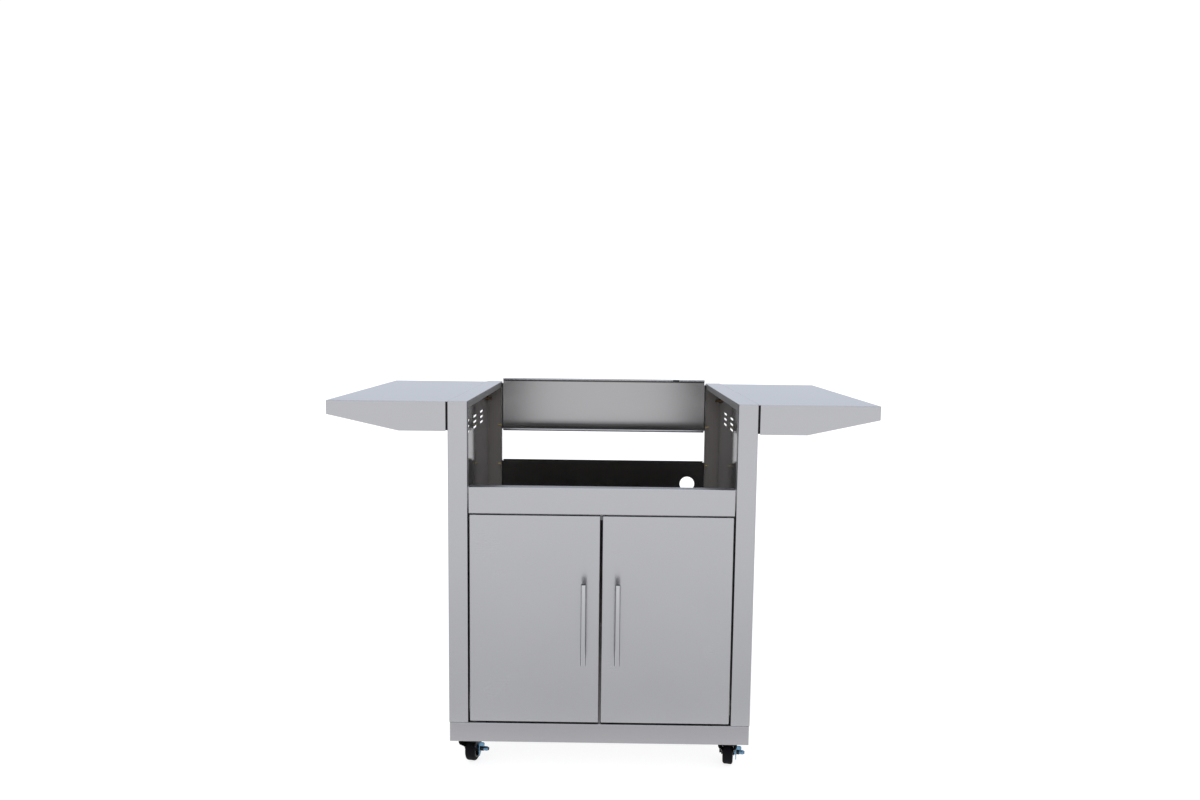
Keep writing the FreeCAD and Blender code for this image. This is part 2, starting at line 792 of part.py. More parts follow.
def panel_fasteners():
    rear = "rear_face - return_lip / 2"
    front = "(rail_tab_front + rail_tab_back) / 2"
    for label, depth, heights in (
            ("rear", rear, rear_screw_heights()), ("rail", front, rail_screw_heights())):
        places = [(side, depth, height) for side in SIDES.values() for height in heights]
        node(group(label + "_screws", [panel_screw(*spot) for spot in places]))
        node(group(label + "_nuts", [panel_nut(*spot) for spot in places]))


# Doors

def door_hinges():
    """Hinge plates with pivot pins: the upper ones in the front rail, the lower ones on the plinth."""
    in_rail = "rail_bottom + steel"
    for label, plate_low, pin_low, pin_high in (
            ("upper_door_hinges", in_rail, "door_top - pin_reach", f"{in_rail} + hinge_plate"),
            ("lower_door_hinges", "plinth_top", "plinth_top", "door_bottom + pin_reach")):
        members = []
        for name, side in SIDES.items():
            body = new_body(f"{label}_{name}")
            centre = f"{side} * hinge_x"
            front = "hinge_y - hinge_plate_width / 2"
            back = "hinge_y + hinge_plate_width / 2"
            edge = f"{side} * (door_outer - hinge_plate_length)"
            start, end = span(edge, f"{side} * door_outer")
            pad(body, "Z", plate_low, f"{plate_low} + hinge_plate", rectangle(start, end, front, back))
            pad(body, "Z", pin_low, pin_high, circle(centre, "hinge_y", "pivot_pin / 2"))
            members.append(body)
        node(group(label, members))


def door(name, side):
    """A pan-shaped skin with liner, pivot bushes, strike plate and a bar handle on two posts."""
    free, hinge = f"{side} * door_inner", f"{side} * door_outer"
    left, right = span(free, hinge)
    skin = new_body("door_skin_" + name)
    pad(skin, "Y", "front_face", "door_back", rectangle(left, right, "door_bottom", "door_top"))
    bends = [{"X": x, "Y": "front_face"} for x in (left, right)]
    bends += [{"Y": "front_face", "Z": z} for z in ("door_bottom", "door_top")]
    bends += [{"X": x, "Z": z} for x in (left, right) for z in ("door_bottom", "door_top")]
    round_edges(skin, "bend_radius", *bends)
    pocket(skin, "Y", "front_face + steel", "door_back",
           rectangle(f"{left} + steel", f"{right} - steel", "door_bottom + steel", "door_top - steel"))
    centre = f"{side} * hinge_x"
    for low in ("door_bottom", "door_top - steel"):
        pocket(skin, "Z", low, f"{low} + steel", circle(centre, "hinge_y", "bush_radius + pin_fit"))
    node(skin)

    liner = new_body("door_liner_" + name)
    inner_left, inner_right = f"{left} + steel + floor_fit", f"{right} - steel - floor_fit"
    low, high = "door_bottom + steel + floor_fit", "door_top - steel - floor_fit"
    pad(liner, "Y", "door_back - liner_flange", "door_back",
        rectangle(inner_left, inner_right, low, high))
    pocket(liner, "Y", "door_back - liner_flange", "door_back - steel",
           rectangle(f"{inner_left} + steel", f"{inner_right} - steel",
                     f"{low} - steel", f"{high} + steel"))
    node(liner)

    bushes = []
    for end, flange_low, sleeve_low in (
            ("lower", "door_bottom - bush_flange", "door_bottom - bush_flange"),
            ("upper", "door_top", "door_top + bush_flange - bush_length")):
        bush = new_body(f"hinge_bush_{end}_{name}")
        sleeve_high = f"{sleeve_low} + bush_length"
        pad(bush, "Z", flange_low, f"{flange_low} + bush_flange",
            circle(centre, "hinge_y", "bush_radius + bush_wall"))
        pad(bush, "Z", sleeve_low, sleeve_high, circle(centre, "hinge_y", "bush_radius"))
        pocket(bush, "Z", sleeve_low, sleeve_high, circle(centre, "hinge_y", "pivot_pin / 2 + pin_fit"))
        bushes.append(bush)
    node(group("hinge_bushes_" + name, bushes))

    strike = new_body("door_strike_" + name)
    strike_free = f"{free} + {side} * strike_inset"
    strike_left, strike_right = span(strike_free, f"{strike_free} + {side} * strike_width")
    pad(strike, "Y", "door_back", "door_back + strike_plate",
        rectangle(strike_left, strike_right,
                  "door_top - strike_inset - strike_height", "door_top - strike_inset"))
    node(strike)

    bar = new_body("door_handle_" + name)
    pad(bar, "Z", "handle_bottom", "handle_bottom + handle_length",
        circle(f"{side} * handle_x", "handle_y", "handle_bar / 2"))
    round_edges(bar, "handle_edge", {"Z": "handle_bottom"}, {"Z": "handle_bottom + handle_length"})
    node(bar)
    posts = []
    bar_x = f"{side} * handle_x"
    for inset in ("handle_post_inset", "handle_length - handle_post_inset"):
        height = f"handle_bottom + {inset}"
        rod = cylinder("Y", bar_x, "handle_y", height, "handle_post / 2", "handle_stand")
        saddle = cylinder("Z", bar_x, "handle_y", f"{height} - handle_post",
                          "handle_bar / 2", "2 * handle_post")
        posts.append(cut(rod, saddle))
    node(group("handle_posts_" + name, posts))


def magnet_catch():
    """The double magnetic catch under the front rail, behind the meeting door edges."""
    body = new_body("magnet_catch")
    front = "door_back + strike_plate + catch_air"
    pad(body, "Y", front, f"{front} + catch_depth",
        rectangle("-catch_width / 2", "catch_width / 2", "rail_bottom - catch_height", "rail_bottom"))
    low = "rail_bottom - catch_height"
    round_edges(body, "steel", {"X": "-catch_width / 2", "Z": low}, {"X": "catch_width / 2", "Z": low})
    node(body)


# Side shelves

def side_shelf(name, side):
    """A folded shelf: top sheet, tapered front and rear aprons and a short outer end."""
    body = new_body("side_shelf_" + name)
    inner, end = f"{side} * shelf_inner", f"{side} * shelf_end"
    flat = f"{side} * (half_width + apron_flat)"
    profile = outline((inner, "shelf_bottom"), (flat, "shelf_bottom"), (end, "shelf_top - tip_height"),
                      (end, "shelf_top"), (inner, "shelf_top"))
    pad(body, "Y", "front_face", "shelf_back", profile)
    bends = [{"Y": y, "Z": "shelf_top"} for y in ("front_face", "shelf_back")]
    bends += [{"X": end, "Z": "shelf_top"}]
    bends += [{"X": end, "Y": y} for y in ("front_face", "shelf_back")]
    round_edges(body, "bend_radius", *bends)
    far_left, far_right = span(f"{inner} - {side} * apron_gap", f"{end} - {side} * steel")
    pocket(body, "Y", "front_face + steel", "shelf_back - steel",
           rectangle(far_left, far_right, "shelf_bottom - steel", "shelf_top - steel"))
    strip_left, strip_right = span(f"{side} * (half_width + shelf_top_gap)", inner)
    pad(body, "Y", "front_face + steel", "shelf_back - steel",
        rectangle(strip_left, strip_right, "shelf_top - steel", "shelf_top"))
    node(body)

    hat = new_body("shelf_stiffener_" + name)
    middle = "(front_face + shelf_back) / 2"
    half, brim = "stiffener_width / 2", "(stiffener_width / 2 + stiffener_brim)"
    under = "shelf_top - steel"
    low = f"{under} - stiffener_height"
    section = outline(
        (f"{middle} - {brim}", under), (f"{middle} - {brim}", f"{under} - steel"),
        (f"{middle} - {half}", f"{under} - steel"), (f"{middle} - {half}", low),
        (f"{middle} + {half}", low), (f"{middle} + {half}", f"{under} - steel"),
        (f"{middle} + {brim}", f"{under} - steel"), (f"{middle} + {brim}", under),
        (f"{middle} + {half} - steel", under), (f"{middle} + {half} - steel", f"{low} + steel"),
        (f"{middle} - {half} + steel", f"{low} + steel"), (f"{middle} - {half} + steel", under))
    start, end = span(f"{side} * (shelf_inner + stiffener_inset)",
                      f"{side} * (shelf_end - stiffener_inset)")
    pad(hat, "X", start, end, section)
    node(hat)

    studs = []
    for apron, sense in (("front_face + steel", 1), ("shelf_back - steel", -1)):
        for z, width in (("fold_z", "pivot_stud"), ("fold_z + guide_radius", "guide_stud")):
            clip = "(ear_gap + bracket_plate + guide_room)"
            length = f"{clip} + stud_clip"
            shaft_from = apron if sense > 0 else f"{apron} - ({length})"
            clip_from = f"{apron} + {clip}" if sense > 0 else f"{apron} - {clip} - stud_clip"
            studs.append(fuse(
                cylinder("Y", f"{side} * fold_x", shaft_from, z, f"{width} / 2", length),
                cylinder("Y", f"{side} * fold_x", clip_from, z,
                         f"{width} / 2 + stud_clip_brim", "stud_clip")))
    node(group("shelf_studs_" + name, studs))


def shelf_brackets(name, side):
    """Angle brackets on the panel: an ear with the pivot hole and the guide slot, and a bolted plate."""
    members = []
    for end, ear, sense in (("front", "ear_front", 1), ("rear", "ear_back", -1)):
        body = new_body(f"shelf_bracket_{end}_{name}")
        web = f"{side} * half_width"
        pivot_x = f"{side} * fold_x"
        ear_start, ear_end = span(ear, f"{ear} + {sense} * bracket_plate")
        reach_x = f"{side} * (fold_x + ear_reach)"
        shoulder_x = f"{side} * (fold_x + ear_margin)"
        ear_low, ear_high = "fold_z - ear_under", "fold_z + ear_reach"
        pad(body, "Y", ear_start, ear_end, outline(
            (web, ear_low), (reach_x, ear_low), (reach_x, "fold_z + ear_margin"),
            (shoulder_x, ear_high), (pivot_x, "ear_top"), (web, "ear_top")))
        round_edges(body, "ear_corner", *({"X": x, "Z": z} for x, z in (
            (reach_x, ear_low), (reach_x, "fold_z + ear_margin"), (shoulder_x, ear_high))))
        plate_start, plate_end = span(ear, f"{ear} + {sense} * bracket_length")
        face_start, face_end = span(web, f"{web} + {side} * bracket_plate")
        pad(body, "X", face_start, face_end, rectangle(plate_start, plate_end, ear_low, ear_high))
        pocket(body, "Y", ear_start, ear_end, circle(pivot_x, "fold_z", "pivot_stud / 2 + pin_fit"),
               quarter_slot(pivot_x, "fold_z", "guide_radius", "(guide_stud + 2 * guide_room)", side))
        bolt_y = f"{ear} + {sense} * bracket_bolt_step"
        pocket(body, "X", face_start, face_end, *(
            circle(bolt_y, f"top_height - {drop}", "bracket_bolt / 2 + hole_room")
            for drop in ("bracket_bolt_low", "bracket_bolt_high")))
        members.append(body)
    node(group("shelf_brackets_" + name, members))


def bracket_fasteners():
    """Hexagon bolts through bracket and web, heads outside and nuts inside the panel."""
    bolts = []
    nuts = []
    for side in SIDES.values():
        axis = "-X" if side > 0 else "X"
        head = f"{side} * (half_width + bracket_plate + bracket_bolt_head)"
        length = "bracket_bolt_head + bracket_plate + steel + bracket_nut + screw_tail"
        face = f"{side} * (half_width - steel)"
        for depth in bracket_bolt_rows():
            for drop in ("bracket_bolt_low", "bracket_bolt_high"):
                height = f"top_height - {drop}"
                bolts.append(fuse(hexagon(axis, head, depth, height, "bracket_hex", "bracket_bolt_head"),
                                  cylinder(axis, head, depth, height, "bracket_bolt / 2", length)))
                nuts.append(cut(hexagon(axis, face, depth, height, "bracket_hex", "bracket_nut"),
                                cylinder(axis, face, depth, height, "bracket_bolt / 2", "bracket_nut")))
    node(group("bracket_bolts", bolts))
    node(group("bracket_nuts", nuts))


# Casters, drawn about their own kingpin (x across, y behind) and then turned and set in place

def turned(caster):
    return FreeCAD.Rotation(FreeCAD.Vector(0, 0, 1), number("swivel_" + caster))


def set_caster(thing, caster):
    x, y = caster_place(caster)
    return place(thing, x, y, "0", turned(caster))


def set_wheel(thing, caster):
    """Put a piece drawn about the wheel's centre on the axle."""
    x, y = caster_place(caster)
    angle = f"swivel_{caster} * 1 deg"
    return place(thing, f"{x} - trail * sin({angle})", f"{y} + trail * cos({angle})",
                 "wheel_radius", turned(caster))


def caster_fixed_pieces():
    """Top plates with raceway, riveted kingpins and plate bolts of all four casters."""
    plates = []
    pins = []
    bolts = []
    for caster in CASTERS:
        plate = new_body("caster_plate_" + caster)
        half = "caster_plate / 2"
        pad(plate, "Z", "caster_seat", "plinth_bottom", rectangle(f"-{half}", half, f"-{half}", half))
        round_edges(plate, "caster_plate_corner", *(
            {"X": x, "Y": y} for x in (f"-{half}", half) for y in (f"-{half}", half)))
        pad(plate, "Z", "crown_top + race_air", "caster_seat", circle("0", "0", "race_width / 2"))
        pocket(plate, "Z", "crown_top", "plinth_bottom", circle("0", "0", "kingpin / 2"))
        pocket(plate, "Z", "caster_seat", "plinth_bottom",
               *(circle(x, y, "caster_bolt / 2 + hole_room") for x, y in plate_corners()))
        x, y = caster_place(caster)
        plates.append(place(plate, x, y, "0"))
        head_low = "crown_low - race_air - kingpin_head_height"
        pins.append(fuse(cylinder("Z", x, y, head_low, "kingpin_head / 2", "kingpin_head_height"),
                         cylinder("Z", x, y, head_low, "kingpin / 2", f"plinth_bottom - ({head_low})")))
        for step_x, step_y in plate_corners():
            bolt_x, bolt_y = f"{x} + {step_x}", f"{y} + {step_y}"
            low = "caster_seat - caster_bolt_head"
            length = "caster_bolt_head + caster_plate_steel + steel + caster_bolt_tail"
            bolts.append(fuse(hexagon("Z", bolt_x, bolt_y, low, "caster_bolt_hex", "caster_bolt_head"),
                              cylinder("Z", bolt_x, bolt_y, low, "caster_bolt / 2", length)))
    node(group("caster_plates", plates))
    node(group("caster_kingpins", pins))
    node(group("caster_screws", bolts))


def caster_fork(caster):
    """A pressed fork: round crown, flared shoulders and two trailing legs."""
    body = new_body("caster_fork_" + caster)
    crown = "crown_width / 2"
    leg_end = "wheel_radius - 2 * fork_boss"
    right = [(crown, "crown_top"), (crown, "crown_top - crown_depth"), ("leg_outer", "fork_waist"),
             ("leg_outer", leg_end), ("leg_inner", leg_end), ("leg_inner", "fork_waist"),
             (f"{crown} - fork_steel", "crown_low")]
    left = [(f"-({x})", z) for x, z in reversed(right)]
    back = "trail + fork_boss"
    pad(body, "Y", f"-{crown}", back, outline(*(right + left)))
    side = legs_outline(
        [("trail - fork_boss", "wheel_radius"), (f"-{crown}", "crown_top - 2 * crown_depth"),
         (f"-{crown}", "crown_top"), (back, "crown_top"), (back, "wheel_radius")],
        ("trail", "wheel_radius"), "fork_boss")
    reach = "2 * crown_width"
    pocket(body, "X", f"-{crown}", crown, rectangle(f"-{reach}", reach, "0", reach), side)
    pocket(body, "Z", "crown_low", "crown_top", circle("0", "0", "kingpin / 2 + axle_fit"))
    pocket(body, "X", "-leg_outer", "leg_outer", circle("trail", "wheel_radius", "axle / 2 + axle_fit"))
    node(set_caster(body, caster))


def caster_wheel(caster):
    """A rubber tyre with round shoulders on a webbed hub."""
    tyre = new_body("caster_tyre_" + caster)
    half = "wheel_width / 2"
    revolve(tyre, rectangle(f"-{half}", half, "hub_radius", "wheel_radius"))
    shoulders = []
    for index, edge in enumerate(tyre.Shape.Edges, start=1):
        if isinstance(edge.Curve, Part.Circle) and edge.Curve.Radius > number("hub_radius + tyre_wall / 2"):
            shoulders.append(f"Edge{index}")
    fillet(tyre, shoulders, "tyre_shoulder")
    node(set_wheel(tyre, caster))

    hub = new_body("caster_hub_" + caster)
    bore, web, core, rim = "axle / 2 + axle_fit", "hub_web / 2", "hub_core / 2", "hub_radius - hub_rim"
    side = "(leg_inner - hub_side_gap)"
    right = [(side, bore), (side, core), (web, core), (web, rim), (half, rim), (half, "hub_radius")]
    left = [(f"-{x}", radius) for x, radius in reversed(right)]
    revolve(hub, outline(*(right + left)))
    node(set_wheel(hub, caster))

    braked = caster.startswith("front")
    nut_face = "brake_outer + brake_air" if braked else "leg_outer"
    tail = "brake_bolt_tail" if braked else "screw_tail"
    length = f"leg_outer + axle_head + {nut_face} + axle_nut + {tail}"
    head = "-leg_outer - axle_head"
    bolt = fuse(hexagon("X", head, "0", "0", "axle_hex", "axle_head"),
                cylinder("X", head, "0", "0", "axle / 2", length),
                hexagon("X", nut_face, "0", "0", "axle_hex", "axle_nut"))
    bolt.Label = "caster_axle_" + caster
    node(set_wheel(bolt, caster))


def brake_lever(caster):
    """A pressed lever on the axle bolt beside the fork, with a folded tread above and a plain tail below."""
    body = new_body("brake_lever_" + caster)
    start, plate = "leg_outer + brake_air", "brake_outer - brake_steel"
    tip, back = f"{plate} + brake_tread_width", "-brake_reach + brake_steel"
    pad(body, "X", start, "brake_outer", circle("0", "0", "brake_boss / 2"))
    pad(body, "X", plate, "brake_outer", outline(
        ("-brake_reach", "-brake_drop"), (back, "-brake_drop"), ("0", "-brake_boss / 2"),
        ("0", "brake_boss / 2"), (back, "brake_rise"), ("-brake_reach", "brake_rise")))
    tread = "brake_rise - brake_tread"
    pad(body, "X", plate, tip, rectangle("-brake_reach", back, tread, "brake_rise"))
    round_edges(body, "brake_tread_corner", {"X": tip, "Z": tread}, {"X": tip, "Z": "brake_rise"})
    pocket(body, "X", start, "brake_outer", circle("0", "0", "axle / 2 + axle_fit"))
    node(set_wheel(body, caster))


base_tray()
bottom_shelf()
for side_name, side_sign in SIDES.items():
    side_panel(side_name, side_sign)
front_rail()
rear_rail()
rear_panel()
rear_cleats()
panel_fasteners()
door_hinges()
magnet_catch()
for side_name, side_sign in SIDES.items():
    door(side_name, side_sign)
    side_shelf(side_name, side_sign)
    shelf_brackets(side_name, side_sign)
bracket_fasteners()
caster_fixed_pieces()
for caster_name in CASTERS:
    caster_fork(caster_name)
    caster_wheel(caster_name)
    if caster_name.startswith("front"):
        brake_lever(caster_name)

doc.recompute()
for thing in doc.Objects:
    if "Invalid" in thing.State or "Error" in thing.State:
        raise RuntimeError(f"{thing.Label} failed: {thing.State}")
for thing in nodes:
    if thing.Shape.isNull() or not thing.Shape.isValid() or not thing.Shape.Solids:
        raise RuntimeError(f"{thing.Label} has no valid solid")

os.makedirs("parts", exist_ok=True)
for thing in nodes:
    thing.Shape.exportStep(os.path.join("parts", thing.Label + ".step"))
print(len(nodes), "nodes written")
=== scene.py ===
# Looks of a stainless outdoor oven cart: finishes, fine hardware, studio and camera.
import json
import math

import bmesh
import bpy
from mathutils import Matrix, Vector

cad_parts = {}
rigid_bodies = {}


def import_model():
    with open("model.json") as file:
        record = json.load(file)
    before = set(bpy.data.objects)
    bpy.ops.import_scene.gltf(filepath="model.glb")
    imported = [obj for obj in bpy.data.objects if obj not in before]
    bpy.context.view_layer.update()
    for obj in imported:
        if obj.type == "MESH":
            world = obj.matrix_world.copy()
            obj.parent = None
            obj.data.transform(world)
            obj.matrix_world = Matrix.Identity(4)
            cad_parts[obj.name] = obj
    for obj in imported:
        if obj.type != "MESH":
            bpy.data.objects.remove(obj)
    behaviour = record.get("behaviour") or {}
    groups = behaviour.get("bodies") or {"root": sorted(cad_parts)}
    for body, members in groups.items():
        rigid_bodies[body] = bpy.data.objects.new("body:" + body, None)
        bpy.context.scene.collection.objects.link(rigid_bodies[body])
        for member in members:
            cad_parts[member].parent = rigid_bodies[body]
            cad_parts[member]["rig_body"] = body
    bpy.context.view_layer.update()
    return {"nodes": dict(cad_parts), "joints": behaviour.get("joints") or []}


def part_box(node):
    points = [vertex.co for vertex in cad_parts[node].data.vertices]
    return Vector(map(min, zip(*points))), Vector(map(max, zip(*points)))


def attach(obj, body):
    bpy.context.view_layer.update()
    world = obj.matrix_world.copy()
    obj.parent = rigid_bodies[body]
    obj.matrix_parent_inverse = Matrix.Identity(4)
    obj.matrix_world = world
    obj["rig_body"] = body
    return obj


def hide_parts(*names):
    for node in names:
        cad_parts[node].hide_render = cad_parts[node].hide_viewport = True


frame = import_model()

NODES = frame["nodes"]
JOINTS = {joint["name"]: joint for joint in frame["joints"]}
X, Y, Z = range(3)


# Shader maths

class Wire:
    """An output socket that takes part in Python expressions of plain values."""

    def __init__(self, finish, socket):
        self.finish = finish
        self.socket = socket

    def join(self, operation, first, second):
        return self.finish.node("Math", {"operation": operation}, {0: first, 1: second})

    def __add__(self, other):
        return self.join("ADD", self, other)

    def __radd__(self, other):
        return self.join("ADD", other, self)

    def __sub__(self, other):
        return self.join("SUBTRACT", self, other)

    def __rsub__(self, other):
        return self.join("SUBTRACT", other, self)

    def __mul__(self, other):
        return self.join("MULTIPLY", self, other)

    def __rmul__(self, other):
        return self.join("MULTIPLY", other, self)


class Finish:
    """A node tree of a material or of the studio's surroundings."""

    def __init__(self, owner):
        self.owner = owner
        owner.use_nodes = True
        self.tree = owner.node_tree
        self.tree.nodes.clear()

    def node(self, kind, settings=None, sockets=None, output=0):
        """Add a node: its settings first, then the values or links of its sockets."""
        made = self.tree.nodes.new("ShaderNode" + kind)
        for name, value in (settings or {}).items():
            if name == "stops":
                ramp = made.color_ramp.elements
                while len(ramp) < len(value):
                    ramp.new(1.0)
                for stop, (spot, colour) in zip(ramp, value):
                    stop.position = spot
                    stop.color = (*colour, 1.0)
            else:
                setattr(made, name, value)
        for key, value in (sockets or {}).items():
            socket = made.inputs[key]
            if isinstance(value, Wire):
                self.tree.links.new(value.socket, socket)
            else:
                socket.default_value = value
        return Wire(self, made.outputs[output]) if made.outputs else made

    def spot(self):
        """Where a point lies on the object, in metres."""
        return self.node("TexCoord", output="Object")

    def part_of(self, vector, axis):
        """One of a vector's parts, by its letter."""
        return self.node("SeparateXYZ", {}, {"Vector": vector}, output=axis)

    def noise(self, spot, scale, detail, roughness=0.5):
        return self.node("TexNoise", {}, {"Vector": spot, "Scale": scale, "Detail": detail,
                                          "Roughness": roughness})

    def streaks(self, spot, grain, along, across):
        """Noise drawn out along one axis, in streaks per metre."""
        scale = [along if axis == grain else across for axis in "XYZ"]
        drawn_out = self.node("Mapping", {}, {"Vector": spot, "Scale": scale})
        return self.noise(drawn_out, scale=1.0, detail=2.0)

    def relief(self, height, strength, depth, normal=None):
        """The surface's normal over a height pattern."""
        sockets = {"Strength": strength, "Distance": depth, "Height": height}
        if normal:
            sockets["Normal"] = normal
        return self.node("Bump", {}, sockets)

    def mix_colour(self, factor, first, second):
        """A colour between two colours, each a plain triple or a wire."""
        ends = [tint if isinstance(tint, Wire) else (*tint, 1.0) for tint in (first, second)]
        return self.node("Mix", {"data_type": "RGBA"}, {0: factor, 6: ends[0], 7: ends[1]}, output=2)

    def between(self, value, start, end):
        """How far a value has gone from start to end, held between 0 and 1."""
        return self.node("MapRange", {}, {"Value": value, "From Min": start, "From Max": end})

    def surface(self, sockets):
        """Close the tree with one Principled surface."""
        shader = self.node("BsdfPrincipled", {}, sockets)
        self.node("OutputMaterial", {}, {"Surface": shader})
        return self.owner


def new_finish(name):
    return Finish(bpy.data.materials.new(name))


# Finishes

# Which way the grain blurs what a sheet mirrors, and a glancing look that reflects all or nothing
BLUR_SIDEWAYS, BLUR_UPRIGHT = 0.0, 0.25
WHITE, BLACK = (1.0, 1.0, 1.0), (0.0, 0.0, 0.0)


def brushed_sheet(name, grain, tone, roughness, spread=0.7, rim=WHITE):
    """Brushed stainless: very fine grain along one axis, faint clouding and slight unevenness."""
    finish = new_finish(name)
    spot = finish.spot()
    brushing = finish.streaks(spot, grain, along=12.0, across=2600.0)
    clouds = finish.noise(spot, scale=6.0, detail=2.0)
    waves = finish.noise(spot, scale=2.2, detail=1.0, roughness=0.4)
    return finish.surface({
        "Base Color": finish.mix_colour(0.25 * brushing + 0.75 * clouds, *tone),
        "Metallic": 1.0,
        "Roughness": roughness - 0.02 + 0.005 * brushing + 0.03 * clouds,
        "Specular Tint": (*rim, 1.0),
        "Anisotropic": spread,
        "Anisotropic Rotation": BLUR_UPRIGHT,
        "Normal": finish.relief(waves, strength=0.06, depth=0.004),
    })


def bright_sheet(name, grain, blur, tone, roughness, spread, bow, rim=WHITE, film=0.0, shadow_height=None):
    """The bright side of the sheet: near mirror, with long drawing lines, faint stains and a gentle bow.
    On some sheets a film of dust takes off some of the shine, and on some a painted shadow line stays
    dark at one height."""
    finish = new_finish(name)
    spot = finish.spot()
    lines = finish.streaks(spot, grain, along=1.2, across=260.0)
    stains = finish.noise(spot, scale=9.0, detail=4.0, roughness=0.6)
    bowing = finish.noise(spot, scale=4.0, detail=0.0)
    drawn = finish.relief(lines, strength=0.05, depth=0.0003)
    colour = finish.mix_colour(0.5 * lines + 0.5 * stains, *tone)
    # Painted shadow: a band of dark set colour at one height, where the hem above shades the sheet
    if shadow_height:
        below = shadow_height - finish.part_of(spot, "Z")
        off = finish.node("Math", {"operation": "ABSOLUTE"}, {0: below - HEM_SHADOW_HALF})
        colour = finish.mix_colour(finish.between(off, HEM_SHADOW_CORE, HEM_SHADOW_HALF), HEM_SHADOW, colour)
    return finish.surface({
        "Base Color": colour,
        "Metallic": 1.0 - film,
        "Roughness": roughness - 0.02 + 0.02 * lines + 0.02 * stains,
        "Specular Tint": (*rim, 1.0),
        "Anisotropic": spread,
        "Anisotropic Rotation": blur,
        "Normal": finish.relief(bowing, strength=bow, depth=0.004, normal=drawn),
    })


def plated(name, tone, roughness):
    """Plated small hardware with blotchy tone."""
    finish = new_finish(name)
    blotches = finish.noise(finish.spot(), scale=160.0, detail=3.0, roughness=0.6)
    return finish.surface({
        "Base Color": finish.mix_colour(blotches, *tone),
        "Metallic": 1.0,
        "Roughness": roughness - 0.1 + 0.2 * blotches,
    })


def moulded(name, tone, roughness, grain, shine):
    """Rubber, plastic or black coating with a fine grain and a little dust."""
    finish = new_finish(name)
    spot = finish.spot()
    pores = finish.noise(spot, scale=grain, detail=2.0)
    dust = finish.noise(spot, scale=45.0, detail=4.0, roughness=0.6)
    return finish.surface({
        "Base Color": finish.mix_colour(dust, *tone),
        "Roughness": roughness - 0.1 + 0.2 * dust,
        "Specular IOR Level": shine,
        "Normal": finish.relief(pores, strength=0.25, depth=0.0003),
    })


# The rear rail's hem, and the painted shadow line under it
HEM_HEIGHT = 0.0075
HEM_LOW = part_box("rear_rail")[1].z - HEM_HEIGHT
HEM_SHADOW = (0.05, 0.05, 0.05)
HEM_SHADOW_HALF = 0.0016
HEM_SHADOW_CORE = 0.6 * HEM_SHADOW_HALF

# Darkest and lightest tone of each sheet. LOW, REAR and DIM are darker copies of the front's stainless:
# painted shade on the plinth, the rear rail and the rear panel. DARK is the tone of the painted-shade
# finish.
FRONT = ((0.442, 0.440, 0.453), (0.468, 0.466, 0.479))
LOW = ((0.384, 0.380, 0.392), (0.406, 0.402, 0.414))
TOP = ((0.425, 0.430, 0.438), (0.450, 0.455, 0.463))
REAR = ((0.342, 0.336, 0.338), (0.378, 0.372, 0.372))
DIM = ((0.27, 0.262, 0.258), (0.30, 0.292, 0.288))
BAR = ((0.47, 0.47, 0.48), (0.51, 0.51, 0.52))
BARE = ((0.86, 0.85, 0.84), (0.93, 0.92, 0.91))
SHADED = ((0.08, 0.08, 0.08), (0.11, 0.11, 0.11))
DARK = ((0.15, 0.146, 0.143), (0.18, 0.175, 0.171))
INNER = ((0.38, 0.36, 0.34), (0.44, 0.42, 0.40))
PALE = ((0.40, 0.375, 0.355), (0.58, 0.55, 0.525))

# How much a glancing look still reflects, and how rough the brushed fronts are
SHELF_RIM = (0.76, 0.785, 0.83)
WALL_RIM = (0.42, 0.42, 0.44)
SATIN = 0.27

